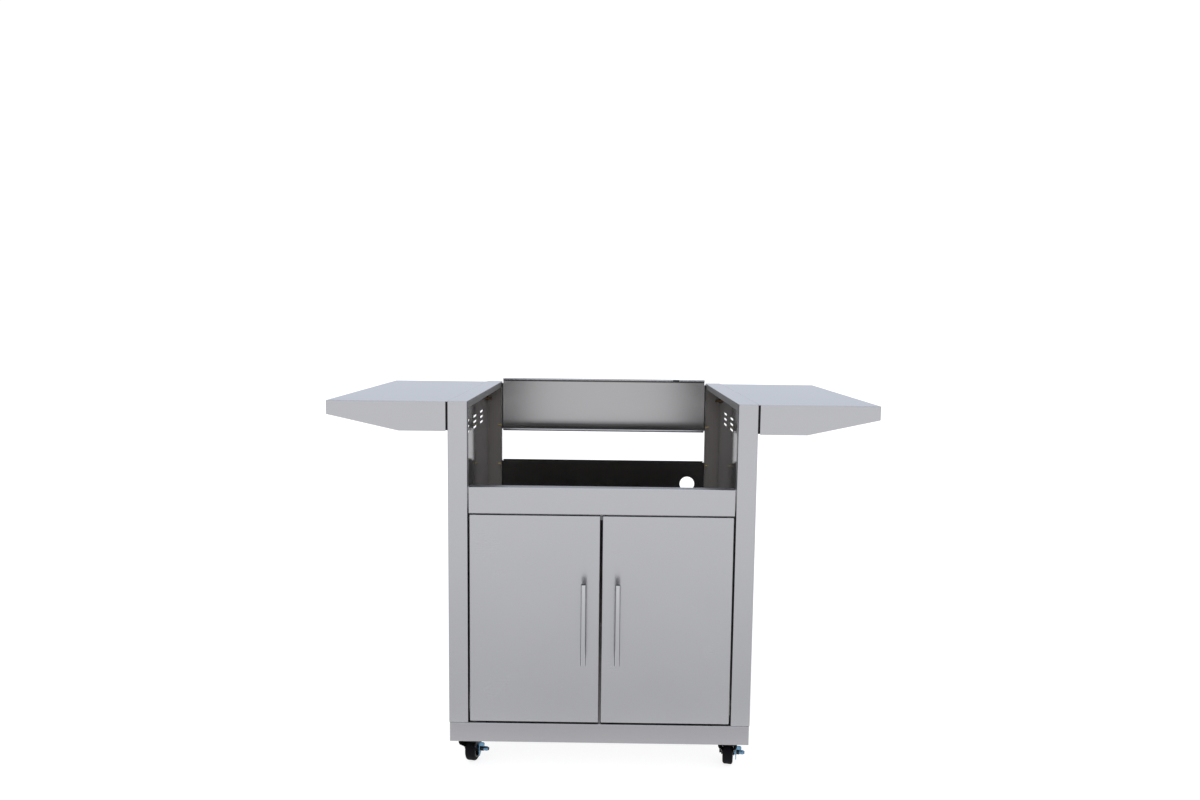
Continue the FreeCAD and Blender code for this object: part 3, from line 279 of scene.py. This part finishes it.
FINISHES = {
    "door": brushed_sheet("door_brushing", "X", FRONT, SATIN),
    "post": brushed_sheet("post_brushing", "Z", FRONT, SATIN),
    "rail": brushed_sheet("rail_brushing", "X", FRONT, SATIN),
    # Painted shade: the plinth is a darker copy of the front's stainless
    "plinth": brushed_sheet("plinth_brushing", "X", LOW, SATIN),
    "shelf": brushed_sheet("shelf_brushing", "X", FRONT, SATIN),
    "shelf_top": brushed_sheet("shelf_top_brushing", "Y", TOP, 0.30, spread=0.0, rim=SHELF_RIM),
    "bar": brushed_sheet("handle_brushing", "Z", BAR, 0.11, rim=BLACK),
    "edge": brushed_sheet("shaded_edges", "Z", SHADED, 0.45),
    # Painted shade: the rear rail's sheet is a darker copy of the front's stainless, with a painted
    # shadow line under its hem
    "rear": bright_sheet("rear_sheet", "X", BLUR_SIDEWAYS, REAR, 0.16, spread=1.0, bow=0.14,
                         shadow_height=HEM_LOW),
    # Painted shade: the rear panel is a darker copy still
    "rear_low": bright_sheet("rear_panel_sheet", "X", BLUR_SIDEWAYS, DIM, 0.30, spread=1.0, bow=0.05),
    "wall": bright_sheet("inner_wall", "Z", BLUR_UPRIGHT, INNER, 0.09, spread=0.7, bow=0.03,
                         rim=WALL_RIM, film=0.30),
    "hollow": bright_sheet("post_hollow", "Z", BLUR_UPRIGHT, PALE, 0.55, spread=0.8, bow=0.03),
    "bare": bright_sheet("front_post_hollow", "Z", BLUR_UPRIGHT, BARE, 0.50, spread=0.8, bow=0.03),
    # Painted shade: a dark copy of the bright sheet for the insides of the shelves and front rail and for
    # the rear cleats, where shade falls
    "painted_shade": bright_sheet("painted_shade_sheet", "X", BLUR_SIDEWAYS, DARK, 0.40, spread=0.5, bow=0.03),
    "mill": bright_sheet("mill_side", "Z", BLUR_UPRIGHT, INNER, 0.20, spread=0.5, bow=0.06),
    "floor": bright_sheet("cabinet_floor_sheet", "X", BLUR_UPRIGHT, INNER, 0.38, spread=0.0, bow=0.06),
    "zinc": plated("blue_zinc", ((0.025, 0.06, 0.10), (0.24, 0.44, 0.62)), 0.28),
    "yellow": plated("yellow_zinc", ((0.72, 0.56, 0.24), (0.92, 0.78, 0.40)), 0.35),
    "oxide": plated("dark_oxide", ((0.020, 0.020, 0.021), (0.050, 0.050, 0.052)), 0.40),
    "bronzed": plated("bronzed_oxide", ((0.09, 0.06, 0.035), (0.20, 0.14, 0.08)), 0.35),
    "rubber": moulded("tyre_rubber", ((0.003, 0.003, 0.004), (0.008, 0.008, 0.009)), 0.60,
                      grain=900.0, shine=0.06),
    "hub": moulded("hub_plastic", ((0.010, 0.010, 0.011), (0.020, 0.020, 0.022)), 0.45,
                   grain=700.0, shine=0.4),
    "coating": moulded("black_coating", ((0.004, 0.004, 0.005), (0.009, 0.009, 0.010)), 0.35,
                       grain=600.0, shine=0.12),
    "nylon": moulded("bush_nylon", ((0.030, 0.029, 0.028), (0.050, 0.048, 0.046)), 0.45,
                     grain=500.0, shine=0.5),
    "catch": moulded("catch_plastic", ((0.66, 0.66, 0.65), (0.75, 0.75, 0.74)), 0.45,
                     grain=500.0, shine=0.5),
}

# Finish of each node by the start of its name; the first fitting line counts
NODE_FINISHES = (
    ("caster_tyre", "rubber"),
    ("caster_hub", "hub"),
    ("caster_fork", "coating"),
    ("caster", "zinc"),
    ("brake", "zinc"),
    ("hinge_bushes", "nylon"),
    ("magnet_catch", "catch"),
    ("rear_screws", "yellow"),
    ("rear_nuts", "yellow"),
    # Painted shade: the rear cleats take the dark finish so the gaps at the rear rail's ends read black
    ("rear_cleats", "painted_shade"),
    ("rail_", "oxide"),
    ("bracket", "bronzed"),
    ("shelf_brackets", "coating"),
    ("shelf_studs", "oxide"),
    ("upper_door_hinges", "oxide"),
    ("lower_door_hinges", "oxide"),
    ("door_strike", "oxide"),
    ("door_handle", "bar"),
    ("handle_posts", "bar"),
    ("door_liner", "mill"),
    ("door_skin", "door"),
    ("front_rail", "rail"),
    ("rear_panel", "rear_low"),
    ("rear_rail", "rear"),
    ("base_tray", "plinth"),
    ("bottom_shelf", "floor"),
    ("side_shelf", "shelf"),
    ("shelf_stiffener", "mill"),
    ("side_panel", "post"),
)


def finish_of(name):
    """The finish of a CAD node, by its name."""
    for start, finish in NODE_FINISHES:
        if name.startswith(start):
            return finish
    raise KeyError(name)


for node_name, node_object in NODES.items():
    node_object.data.materials.clear()
    node_object.data.materials.append(FINISHES[finish_of(node_name)])


# Faces that look different from the rest of their sheet

# Just under half the sheet, how far a rolled edge stands out, and how squarely a face has to look
SHEET_HALF = 0.0007
ROLL_DEPTH = 0.0021
SQUARE = 0.7
SIDES = ("left", "right")


def paint(name, finish, chosen):
    """Give the chosen faces of a CAD node another finish."""
    mesh = NODES[name].data
    mesh.materials.append(FINISHES[finish])
    for face in mesh.polygons:
        if chosen(face):
            face.material_index = len(mesh.materials) - 1


def inside_of(name):
    """A test for the faces that lie inside a folded sheet's box."""
    low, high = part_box(name)

    def inside(face):
        gaps = [min(face.center[axis] - low[axis], high[axis] - face.center[axis]) for axis in range(3)]
        return min(gaps) > SHEET_HALF
    return inside


def facing(axis, sign=0):
    """A test for the faces that look along an axis, or only one way along it."""
    def looks(face):
        lean = face.normal[axis] * sign if sign else abs(face.normal[axis])
        return lean > SQUARE
    return looks


def both(first, second):
    """A test for the faces that pass two tests."""
    return lambda face: first(face) and second(face)


def either(first, second):
    """A test for the faces that pass at least one of two tests."""
    return lambda face: first(face) or second(face)


def paint_sheets():
    """Give the tops, edges and insides of the folded sheets their own finishes; the edges in the gaps and
    the insides of the shelves and front rail get painted shade.
    """
    for side, inward in zip(SIDES, (1, -1)):
        panel = "side_panel_" + side
        inside = inside_of(panel)
        paint(panel, "edge", facing(X, inward))
        paint(panel, "shelf_top", facing(Z, 1))
        paint(panel, "hollow", inside)
        paint(panel, "wall", both(inside, facing(X)))
        paint(panel, "bare", both(inside, facing(Y, 1)))
        shelf = "side_shelf_" + side
        paint(shelf, "shelf_top", facing(Z, 1))
        # Painted shade inside the shelf
        paint(shelf, "painted_shade", inside_of(shelf))
        door = "door_skin_" + side
        paint(door, "edge", either(facing(X), facing(Z, -1)))
        paint(door, "mill", inside_of(door))
    paint("front_rail", "shelf_top", facing(Z, 1))
    # Painted shade inside the front rail
    paint("front_rail", "painted_shade", inside_of("front_rail"))
    paint("base_tray", "mill", inside_of("base_tray"))
    for sheet in ("rear_panel", "rear_rail"):
        paint(sheet, "door", facing(Y, 1))


def paint_rolled_edges():
    """The rear rail's rolled edges show their brushed side, and the notch in the upper one gets the dark
    oxide finish as painted shade.
    """
    low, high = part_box("rear_rail")

    def rolled(face):
        return face.center.y < high.y - ROLL_DEPTH

    def in_notch(face):
        if face.center.z < HEM_LOW:
            return False
        floor_of_notch = facing(Y, -1)(face) and face.center.y > low.y + SHEET_HALF
        end_of_notch = facing(X)(face) and abs(face.center.x) < high.x - SHEET_HALF
        return floor_of_notch or end_of_notch
    paint("rear_rail", "rail", rolled)
    # Painted shade: the notch's floor and ends take the dark oxide finish where the recess is in shade
    paint("rear_rail", "oxide", in_notch)


paint_sheets()
paint_rolled_edges()


# Turned and hexagonal hardware

# Radii of heads, shanks and flange, widths of the hexagons across flats, and tails past the nuts
SCREW_HEAD, SCREW = 0.0045, 0.0025
PANEL_NUT = 0.008
BOLT, BOLT_HEX = 0.004, 0.013
NUT_FLANGE = 0.0088
FLANGE_FOOT, FLANGE_EDGE = 0.0016, 0.0012
PLATE_BOLT, PLATE_BOLT_HEX = 0.003, 0.010
REAR_TAIL, BRACKET_TAIL = 0.006, 0.010
THREAD_PITCH = 0.00125

# Shares: where a hexagon's corners are first turned off, and how much of a shank its tip loses
CORNER_START, TIP_BREAK = 0.97, 0.2
CORNER_SLOPE = math.sqrt(3.0)

# A pan head's outside from its top, depth and radius as shares of its own, and half a recess arm
PAN_HEAD = ((0.10, 0.72), (0.28, 0.88), (0.55, 0.97), (0.85, 1.0), (1.0, 0.97))
ARM_HALF = math.radians(13.0)

# Fineness: points round each ring, rings along each form, and what counts as one point or one bend
CAP_RING, HEAD_RING, HEX_RING = 36, 56, 72
CORNER_STEPS, DOME_STEPS, THREAD_STEPS = 4, 9, 6
SAME_POINT, PLACE_DIGITS = 1e-6, 5
SMOOTH_BELOW = math.radians(35.0)


def set_along(origin, axis):
    """A frame at origin whose x runs along axis."""
    along = Vector(axis).normalized()
    up = Vector((0, 0, 1)) if abs(along.z) < SQUARE else Vector((0, 1, 0))
    side = up.cross(along).normalized()
    return Matrix.Translation(origin) @ Matrix((along, side, along.cross(side))).transposed().to_4x4()


def value_at(value, angle):
    """A row's number at an angle, where the row may give a function of the angle."""
    return value(angle) if callable(value) else value


def add_rings(mesh, place, rows, segments, closed=False, slot=0):
    """Add rings along x, joined one to the next. A row is a place along x and a radius, each a number
    or a function of the angle. The ends are capped, or the last ring joins the first."""
    rings = []
    for along, radius in rows:
        ring = []
        for step in range(segments):
            angle = 2 * math.pi * step / segments
            reach = value_at(radius, angle)
            point = Vector((value_at(along, angle), reach * math.cos(angle), reach * math.sin(angle)))
            ring.append(mesh.verts.new(place @ point))
        rings.append(ring)
    faces = []
    for one, other in zip(rings, rings[1:] + rings[:1] if closed else rings[1:]):
        for step in range(segments):
            after = (step + 1) % segments
            faces.append(mesh.faces.new((one[step], other[step], other[after], one[after])))
    if not closed:
        faces.append(mesh.faces.new(rings[0]))
        faces.append(mesh.faces.new(reversed(rings[-1])))
    for face in faces:
        face.material_index = slot


def make_piece(name, mesh, finishes, node):
    """Turn a mesh into the fine piece that stands for a CAD node."""
    bmesh.ops.recalc_face_normals(mesh, faces=mesh.faces)
    data = bpy.data.meshes.new(name)
    mesh.to_mesh(data)
    mesh.free()
    data.shade_smooth()
    data.set_sharp_from_angle(angle=SMOOTH_BELOW)
    for finish in finishes:
        data.materials.append(FINISHES[finish])
    piece = bpy.data.objects.new(name, data)
    bpy.context.scene.collection.objects.link(piece)
    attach(piece, NODES[node]["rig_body"])
    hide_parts(node)


def solids_of(name):
    """The points of each separate solid of a CAD node."""
    mesh = bmesh.new()
    mesh.from_mesh(NODES[name].data)
    bmesh.ops.remove_doubles(mesh, verts=mesh.verts, dist=SAME_POINT)
    left = set(mesh.verts)
    solids = []
    while left:
        front = [left.pop()]
        solid = []
        while front:
            point = front.pop()
            solid.append(point.co.copy())
            for edge in point.link_edges:
                other = edge.other_vert(point)
                if other in left:
                    left.remove(other)
                    front.append(other)
        solids.append(solid)
    mesh.free()
    return sorted(solids, key=lambda points: tuple(min(points, key=tuple)))


def box_middle(points):
    """The middle of the box round some points."""
    return Vector([(min(point[axis] for point in points) + max(point[axis] for point in points)) / 2
                   for axis in range(3)])


def stations(points, place):
    """The places along a solid's x where its flat ends and shoulders lie."""
    back = place.inverted()
    return sorted({round((back @ point).x, PLACE_DIGITS) for point in points})


def hexagon(flats, corner):
    """The radius of a hexagon that is turned off to a corner radius."""
    def radius(angle):
        turn = (angle + math.pi / 6) % (math.pi / 3) - math.pi / 6
        return min(flats / 2 / math.cos(turn), corner)
    return radius


def hex_rows(start, end, flats, chamfers=(True, True)):
    """Rings of a hexagon between two places, its corners turned off at the chosen ends."""
    inner = CORNER_START * flats / 2
    full = flats / 2 / math.cos(math.pi / 6)
    height = (full - inner) / CORNER_SLOPE
    rises = [height * step / CORNER_STEPS for step in range(CORNER_STEPS + 1)]
    turned = [(rise, hexagon(flats, inner + CORNER_SLOPE * rise)) for rise in rises]
    plain = [(0.0, hexagon(flats, full))]
    near, far = (turned if chamfer else plain for chamfer in chamfers)
    rows = [(start + rise, radius) for rise, radius in near]
    return rows + [(end - rise, radius) for rise, radius in reversed(far)]


def cap_rows(start, end, radius):
    """Rings of a domed cap between two places."""
    rows = [(start, 0.9 * radius), (start + 0.1 * radius, radius)]
    for step in range(DOME_STEPS):
        turn = math.pi / 2 * step / DOME_STEPS
        rows.append((end - radius * (1 - math.sin(turn)), radius * math.cos(turn)))
    return rows


def thread_rows(start, end, radius, pitch):
    """Rings of a threaded rod with a turned end."""
    depth, lead = 0.3 * pitch, 0.7 * pitch
    count = max(2, round((end - lead - start) / pitch * THREAD_STEPS))

    def groove(along):
        return lambda angle: radius - depth * (0.5 + 0.5 * math.cos(2 * math.pi * along / pitch - angle))
    rows = []
    for step in range(count + 1):
        along = start + (end - lead - start) * step / count
        rows.append((along, groove(along)))
    return rows + [(end - lead / 2, radius - depth), (end, radius - 2 * depth)]


def tip_rows(end, shank):
    """Rings of a shank's broken tip."""
    return [(end - TIP_BREAK * shank, shank), (end, (1 - TIP_BREAK) * shank)]


def pan_head_rows(height, radius, shank, end):
    """Rings of a screw from the cross recess in its domed head to its tip."""
    arm, recess = 0.55 * radius, 0.6 * height

    def cross(place, depth):
        def along(angle):
            turn = (angle + math.pi / 4) % (math.pi / 2) - math.pi / 4
            return place + (depth if abs(turn) < ARM_HALF else 0.0)
        return along
    rows = [(recess, 0.02 * radius),
            (cross(0.45 * recess, 0.55 * recess), 0.14 * radius),
            (cross(0.0, 0.9 * recess), 0.2 * radius),
            (cross(0.02 * height, 0.8 * recess), 0.9 * arm),
            (0.03 * height, arm)]
    rows += [(depth * height, reach * radius) for depth, reach in PAN_HEAD]
    return rows + [(height, shank)] + tip_rows(end, shank)


def outward(points):
    """The way along X from the middle of the cart to a solid."""
    return Vector((math.copysign(1.0, box_middle(points).x), 0, 0))


def panel_screws(node, finish, tail=0.0):
    """Cross-recessed screws, some with a tail past the nut."""
    mesh = bmesh.new()
    for points in solids_of(node):
        place = set_along(box_middle(points), outward(points))
        marks = stations(points, place)
        head, shoulder, tip = marks[0], marks[1], marks[-1]
        rows = pan_head_rows(shoulder - head, SCREW_HEAD, SCREW, tip + tail - head)
        add_rings(mesh, place @ Matrix.Translation((head, 0, 0)), rows, HEAD_RING)
    make_piece(node + "_turned", mesh, [finish], node)


def hex_nuts(node, finish, flats, bore, flange=None):
    """Hexagon nuts with an open bore, some with a round flange at the foot."""
    mesh = bmesh.new()
    for points in solids_of(node):
        place = set_along(box_middle(points), outward(points))
        marks = stations(points, place)
        start, end = marks[0], marks[-1]
        rows = hex_rows(start, end, flats, (True, not flange))
        if flange:
            rows[-1:] = [(end - FLANGE_FOOT, rows[-1][1]), (end - FLANGE_EDGE, flange), (end, flange)]
        add_rings(mesh, place, [(start, bore)] + rows + [(end, bore)], HEX_RING, closed=True)
    make_piece(node + "_turned", mesh, [finish], node)


def hex_bolts(node, finish, axis_of, flats, shank, tail=0.0):
    """Hexagon bolts, some with a threaded tail past the nut."""
    mesh = bmesh.new()
    for points in solids_of(node):
        place = set_along(box_middle(points), axis_of(points))
        marks = stations(points, place)
        head, shoulder, tip = marks[0], marks[1], marks[-1]
        rows = hex_rows(head, shoulder, flats, (True, False)) + [(shoulder, shank)] + tip_rows(tip, shank)
        if tail:
            rows[-1:] = thread_rows(tip, tip + tail, shank, THREAD_PITCH)
        add_rings(mesh, place, rows, HEX_RING)
    make_piece(node + "_turned", mesh, [finish], node)


panel_screws("rear_screws", "yellow", REAR_TAIL)
hex_nuts("rear_nuts", "yellow", PANEL_NUT, SCREW)
panel_screws("rail_screws", "oxide")
hex_nuts("rail_nuts", "oxide", PANEL_NUT, SCREW)
hex_bolts("bracket_bolts", "bronzed", lambda points: -outward(points), BOLT_HEX, BOLT, BRACKET_TAIL)
hex_nuts("bracket_nuts", "bronzed", BOLT_HEX, BOLT, NUT_FLANGE)
hex_bolts("caster_screws", "zinc", lambda points: Vector((0, 0, 1)), PLATE_BOLT_HEX, PLATE_BOLT)


# Wheels and axle bolts

WHEEL_HALF, WHEEL_RADIUS, HUB_RADIUS = 0.013, 0.032, 0.023
SHOULDER, BEAD = 0.006, 0.0004
CAP_RADIUS = 0.0055
SHOULDER_STEPS, TYRE_RING = 10, 96

# A tyre's tread by place across and depth, and its side ring by fall below the shoulder and depth
TREAD = ((0.0, 0.0), (0.0002, 0.00012), (0.004, 0.00008))
SIDE_RING = ((0.0004, 0.0), (0.0008, 0.0005), (0.0014, 0.0005), (0.0018, 0.0))


def tyre_rows():
    """Rings round a tyre's section: tread with a moulding line, round shoulders, side rings and bead."""
    crown = WHEEL_RADIUS - SHOULDER
    half = [(across, WHEEL_RADIUS - depth) for across, depth in TREAD]
    for step in range(SHOULDER_STEPS + 1):
        turn = math.pi / 2 * (1 - step / SHOULDER_STEPS)
        across = WHEEL_HALF - SHOULDER + SHOULDER * math.cos(turn)
        half.append((across, crown + SHOULDER * math.sin(turn)))
    half += [(WHEEL_HALF - depth, crown - fall) for fall, depth in SIDE_RING]
    half += [(WHEEL_HALF, HUB_RADIUS + BEAD), (WHEEL_HALF - BEAD, HUB_RADIUS)]
    return [(-along, radius) for along, radius in reversed(half[1:])] + half


def caster_pieces(caster):
    """A caster's moulded tyre, and its axle bolt with nut and, in front, a domed cap."""
    joint = JOINTS[f"caster_{caster}_roll"]
    place = set_along(joint["pos_m"], joint["axis"])
    tyre = "caster_tyre_" + caster
    mesh = bmesh.new()
    add_rings(mesh, place, tyre_rows(), TYRE_RING, closed=True)
    make_piece(tyre + "_moulded", mesh, ["rubber"], tyre)
    axle = "caster_axle_" + caster
    marks = stations([vertex.co for vertex in NODES[axle].data.vertices], place)
    head, seat, nut, nut_end, tip = marks[0], marks[1], marks[-3], marks[-2], marks[-1]
    mesh = bmesh.new()
    bolt = hex_rows(head, seat, BOLT_HEX, (True, False)) + [(seat, BOLT)]
    add_rings(mesh, place, bolt + thread_rows(nut, tip, BOLT, THREAD_PITCH), HEX_RING)
    sides = hex_rows(nut, nut_end, BOLT_HEX)
    add_rings(mesh, place, [(nut, BOLT)] + sides + [(nut_end, BOLT)], HEX_RING, closed=True)
    # Painted shade: the axle bolt and nut take the dark oxide finish, for the shade of the fork and tyre
    # round them
    finishes = ["oxide"]
    if caster.startswith("front"):
        add_rings(mesh, place, cap_rows(nut_end, tip, CAP_RADIUS), CAP_RING, slot=1)
        finishes.append("zinc")
    make_piece(axle + "_turned", mesh, finishes, axle)


for caster_name in ("front_left", "front_right", "rear_left", "rear_right"):
    caster_pieces(caster_name)


# Handle bars

BROKEN_EDGE = 0.0008
BROKEN_STEPS, BAR_RING = 4, 64


def handle_bar(node):
    """A straight round bar with softly broken ends."""
    low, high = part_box(node)
    middle = (low + high) / 2
    radius, length = (high.x - low.x) / 2, high.z - low.z
    rows = []
    for step in range(BROKEN_STEPS + 1):
        turn = math.pi / 2 * step / BROKEN_STEPS
        rows.append((BROKEN_EDGE * (1 - math.sin(turn)), radius - BROKEN_EDGE * (1 - math.cos(turn))))
    far_end = [(length - along, reach) for along, reach in rows]
    mesh = bmesh.new()
    add_rings(mesh, set_along((middle.x, middle.y, low.z), (0, 0, 1)), rows[::-1] + far_end, BAR_RING)
    make_piece(node + "_bar", mesh, ["bar"], node)


for side_name in SIDES:
    handle_bar("door_handle_" + side_name)


# Studio

# The floor's tones, and its painted light: a glow from the cart's middle forward, with a band of painted
# shade just ahead of the cart, as shares of the shaded reach
FLOOR_REACH, SHADED_REACH = 30.0, 6.0
FLOOR_TONE = ((0.34, 0.34, 0.34), (0.36, 0.36, 0.36))
FLOOR_GLOW = ((0.0, 0.82), (0.075, 0.82), (0.105, 0.43), (0.24, 0.55), (0.43, 0.66), (0.8, 0.78))

# Light from ahead of the cart, behind it, overhead and the sides
AHEAD_LIGHT, BEHIND_LIGHT = (1.0, 1.0, 1.02), (1.12, 1.15, 1.22)
TOP_LIGHT, SIDE_LIGHT = (1.10, 1.14, 1.22), (0.55, 0.56, 0.58)

# The photo's lens, its turns, and where it stands from the cart's middle and front
SENSOR_WIDTH, LENS = 36.0, 25.03
YAW, PITCH, ROLL = -0.00688, 0.09366, 0.01105
EYE_ASIDE, EYE_AHEAD, EYE_HEIGHT = 0.0068, 2.0273, 1.145


def pale_floor():
    """A wide pale floor that glows as painted light, lightest round the cart, with a band of painted
    shade just ahead of it.
    """
    mesh = bpy.data.meshes.new("studio_floor")
    corners = [(along * FLOOR_REACH, deep * FLOOR_REACH, 0)
               for along, deep in ((-1, -1), (1, -1), (1, 1), (-1, 1))]
    mesh.from_pydata(corners, [], [(0, 1, 2, 3)])
    floor = bpy.data.objects.new("studio_floor", mesh)
    bpy.context.scene.collection.objects.link(floor)
    finish = new_finish("pale_floor")
    spot = finish.spot()
    mottle = finish.noise(spot, scale=3.0, detail=2.0)
    stops = [(place, (glow, glow, glow)) for place, glow in FLOOR_GLOW]
    ahead = finish.between(-1.0 * finish.part_of(spot, "Y"), 0.0, SHADED_REACH)
    finish.surface({
        "Base Color": finish.mix_colour(mottle, *FLOOR_TONE),
        "Roughness": 0.9,
        # Painted light: the floor glows by its distance ahead of the cart
        "Emission Color": finish.node("ValToRGB", {"stops": stops}, {"Fac": ahead}),
        "Emission Strength": 1.0,
    })
    mesh.materials.append(finish.owner)


def surroundings():
    """White surroundings, cooler overhead and behind the cart, dimmer to both sides."""
    world = bpy.data.worlds.new("studio")
    bpy.context.scene.world = world
    finish = Finish(world)
    heading = finish.node("TexCoord", output="Generated")
    aside, behind, height = (finish.part_of(heading, axis) for axis in "XYZ")
    level = finish.mix_colour(finish.between(behind, -0.5, 0.5), AHEAD_LIGHT, BEHIND_LIGHT)
    lit = finish.mix_colour(finish.between(height, 0.0, 0.8), level, TOP_LIGHT)
    colour = finish.mix_colour(finish.between(aside * aside, 0.2, 1.0), lit, SIDE_LIGHT)
    background = finish.node("Background", {}, {"Color": colour, "Strength": 1.0})
    finish.node("OutputWorld", {}, {"Surface": background})


def camera():
    """The photo's camera, worked out from the straight edges of the cart."""
    data = bpy.data.cameras.new("photo_camera")
    data.sensor_width = SENSOR_WIDTH
    data.lens = LENS
    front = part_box("side_panel_left")[0].y
    ahead = Vector((math.sin(YAW) * math.cos(PITCH), math.cos(YAW) * math.cos(PITCH), -math.sin(PITCH)))
    level = Vector((math.cos(YAW), -math.sin(YAW), 0.0))
    rise = level.cross(ahead)
    right = level * math.cos(ROLL) + rise * math.sin(ROLL)
    up = rise * math.cos(ROLL) - level * math.sin(ROLL)
    view = bpy.data.objects.new("photo_camera", data)
    bpy.context.scene.collection.objects.link(view)
    turn = Matrix((right, up, -ahead)).transposed().to_4x4()
    view.matrix_world = Matrix.Translation((EYE_ASIDE, front - EYE_AHEAD, EYE_HEIGHT)) @ turn
    bpy.context.scene.camera = view


pale_floor()
surroundings()
camera()
bpy.context.scene.view_settings.view_transform = "Standard"
